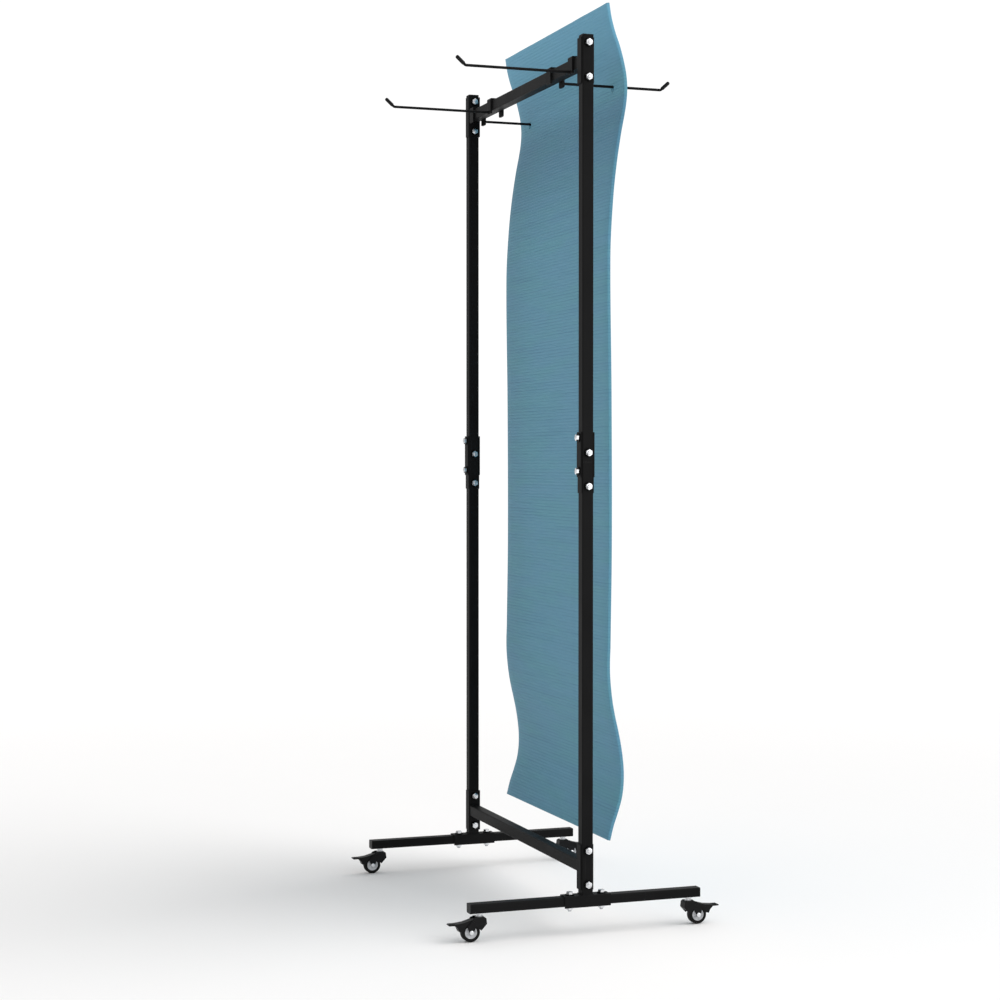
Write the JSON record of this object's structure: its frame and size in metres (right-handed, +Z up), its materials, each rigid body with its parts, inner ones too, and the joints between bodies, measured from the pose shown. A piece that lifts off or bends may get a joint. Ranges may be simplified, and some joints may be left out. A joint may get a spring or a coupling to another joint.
{
  "type": "wheeled hanging rack",
  "caption": "Wheeled rack of bolted black square tube with sliding wire hooks over its top crossbar and a long ribbed blue foam sheet hung by two holes; braked swivel casters.",
  "frame": {"origin": "on the floor, at the middle of the bounding box, midway between the posts and between the ends of the foot bars", "axes": "+Z up, +X along the crossbars towards the near post, +Y along the foot bars towards the side the sheet hangs on"},
  "size_m": [0.8028, 0.6136, 1.9928],
  "materials": {
    "black_powder_coat": "satin black powder coat",
    "black_plastic": "moulded black plastic",
    "bare_steel": "plain mill steel, hidden inside the posts",
    "bright_zinc": "bright zinc plate",
    "caster_wheel": "black tyre on a pale grey hub",
    "blue_foam": "finely ribbed closed-cell foam, matt"
  },
  "bodies": {
    "rack": {"post_upper_near": "black_powder_coat", "post_lower_near": "black_powder_coat", "splice_sleeve_near": "black_powder_coat", "splice_insert_near": "bare_steel", "post_plug_near": "black_plastic", "foot_bar_near": "black_powder_coat", "foot_plug_near_front": "black_plastic", "foot_bolt_near_front": "bright_zinc", "caster_near_front_stem": "bright_zinc", "foot_plug_near_back": "black_plastic", "foot_bolt_near_back": "bright_zinc", "caster_near_back_stem": "bright_zinc", "top_crossbar_bolt_near_upper": "bright_zinc", "bottom_crossbar_bolt_near_upper": "bright_zinc", "splice_cross_bolt_near_upper": "bright_zinc", "splice_bolt_near_upper": "bright_zinc", "top_crossbar_bolt_near_lower": "bright_zinc", "bottom_crossbar_bolt_near_lower": "bright_zinc", "splice_cross_bolt_near_lower": "bright_zinc", "splice_bolt_near_lower": "bright_zinc", "post_upper_far": "black_powder_coat", "post_lower_far": "black_powder_coat", "splice_sleeve_far": "black_powder_coat", "splice_insert_far": "bare_steel", "post_plug_far": "black_plastic", "foot_bar_far": "black_powder_coat", "foot_plug_far_front": "black_plastic", "foot_bolt_far_front": "bright_zinc", "caster_far_front_stem": "bright_zinc", "foot_plug_far_back": "black_plastic", "foot_bolt_far_back": "bright_zinc", "caster_far_back_stem": "bright_zinc", "top_crossbar_bolt_far_upper": "bright_zinc", "bottom_crossbar_bolt_far_upper": "bright_zinc", "splice_cross_bolt_far_upper": "bright_zinc", "splice_bolt_far_upper": "bright_zinc", "top_crossbar_bolt_far_lower": "bright_zinc", "bottom_crossbar_bolt_far_lower": "bright_zinc", "splice_cross_bolt_far_lower": "bright_zinc", "splice_bolt_far_lower": "bright_zinc", "crossbar_top": "black_powder_coat", "crossbar_bottom": "black_powder_coat"},
    "caster_near_front_fork": {"caster_near_front_fork": "black_plastic"},
    "caster_near_front_wheel": {"caster_near_front_wheel": "caster_wheel"},
    "caster_near_front_pedal": {"caster_near_front_brake_pedal": "black_plastic"},
    "caster_near_back_fork": {"caster_near_back_fork": "black_plastic"},
    "caster_near_back_wheel": {"caster_near_back_wheel": "caster_wheel"},
    "caster_near_back_pedal": {"caster_near_back_brake_pedal": "black_plastic"},
    "caster_far_front_fork": {"caster_far_front_fork": "black_plastic"},
    "caster_far_front_wheel": {"caster_far_front_wheel": "caster_wheel"},
    "caster_far_front_pedal": {"caster_far_front_brake_pedal": "black_plastic"},
    "caster_far_back_fork": {"caster_far_back_fork": "black_plastic"},
    "caster_far_back_wheel": {"caster_far_back_wheel": "caster_wheel"},
    "caster_far_back_pedal": {"caster_far_back_brake_pedal": "black_plastic"},
    "hook_front_near": {"hook_front_near": "black_powder_coat"},
    "hook_front_far": {"hook_front_far": "black_powder_coat"},
    "hook_back_near": {"hook_back_near": "black_powder_coat"},
    "hook_back_far": {"hook_back_far": "black_powder_coat"},
    "sheet": {"hanging_sheet": "blue_foam"}
  },
  "joints": [
    {"name": "caster_near_front_swivel", "type": "hinge", "parent": "rack", "child": "caster_near_front_fork", "pos_m": [0.3765, -0.2375, 0.0514], "axis": [0, 0, 1], "continuous": true},
    {"name": "caster_near_front_roll", "type": "hinge", "parent": "caster_near_front_fork", "child": "caster_near_front_wheel", "pos_m": [0.3765, -0.2578, 0.0199], "axis": [1, 0, 0], "continuous": true},
    {"name": "caster_near_front_brake", "type": "hinge", "parent": "caster_near_front_fork", "child": "caster_near_front_pedal", "pos_m": [0.3765, -0.251, 0.0444], "axis": [1, 0, 0], "range_deg": [0, 7]},
    {"name": "caster_near_back_swivel", "type": "hinge", "parent": "rack", "child": "caster_near_back_fork", "pos_m": [0.3765, 0.2375, 0.0514], "axis": [0, 0, 1], "continuous": true},
    {"name": "caster_near_back_roll", "type": "hinge", "parent": "caster_near_back_fork", "child": "caster_near_back_wheel", "pos_m": [0.3765, 0.2578, 0.0199], "axis": [1, 0, 0], "continuous": true},
    {"name": "caster_near_back_brake", "type": "hinge", "parent": "caster_near_back_fork", "child": "caster_near_back_pedal", "pos_m": [0.3765, 0.251, 0.0444], "axis": [-1, 0, 0], "range_deg": [0, 7]},
    {"name": "caster_far_front_swivel", "type": "hinge", "parent": "rack", "child": "caster_far_front_fork", "pos_m": [-0.3765, -0.2375, 0.0514], "axis": [0, 0, 1], "continuous": true},
    {"name": "caster_far_front_roll", "type": "hinge", "parent": "caster_far_front_fork", "child": "caster_far_front_wheel", "pos_m": [-0.3765, -0.2578, 0.0199], "axis": [1, 0, 0], "continuous": true},
    {"name": "caster_far_front_brake", "type": "hinge", "parent": "caster_far_front_fork", "child": "caster_far_front_pedal", "pos_m": [-0.3765, -0.251, 0.0444], "axis": [1, 0, 0], "range_deg": [0, 7]},
    {"name": "caster_far_back_swivel", "type": "hinge", "parent": "rack", "child": "caster_far_back_fork", "pos_m": [-0.3765, 0.2375, 0.0514], "axis": [0, 0, 1], "continuous": true},
    {"name": "caster_far_back_roll", "type": "hinge", "parent": "caster_far_back_fork", "child": "caster_far_back_wheel", "pos_m": [-0.3765, 0.2578, 0.0199], "axis": [1, 0, 0], "continuous": true},
    {"name": "caster_far_back_brake", "type": "hinge", "parent": "caster_far_back_fork", "child": "caster_far_back_pedal", "pos_m": [-0.3765, 0.251, 0.0444], "axis": [-1, 0, 0], "range_deg": [0, 7]},
    {"name": "hook_front_near_slide", "type": "slide", "parent": "rack", "child": "hook_front_near", "axis": [1, 0, 0], "range_m": [-0.075, 0.02]},
    {"name": "hook_front_far_slide", "type": "slide", "parent": "rack", "child": "hook_front_far", "axis": [1, 0, 0], "range_m": [-0.06, 0.3]},
    {"name": "hook_back_near_slide", "type": "slide", "parent": "rack", "child": "hook_back_near", "axis": [1, 0, 0], "range_m": [-0.012, 0.025]},
    {"name": "hook_back_far_slide", "type": "slide", "parent": "rack", "child": "hook_back_far", "axis": [1, 0, 0], "range_m": [-0.012, 0.025]},
    {"name": "sheet_slide", "type": "slide", "parent": "hook_back_near", "child": "sheet", "axis": [0, 1, 0], "range_m": [-0.05, 0.1]}
  ],
  "couplings": [
    {"joint": "hook_back_far_slide", "follows": "hook_back_near_slide", "ratio": 1}
  ]
}
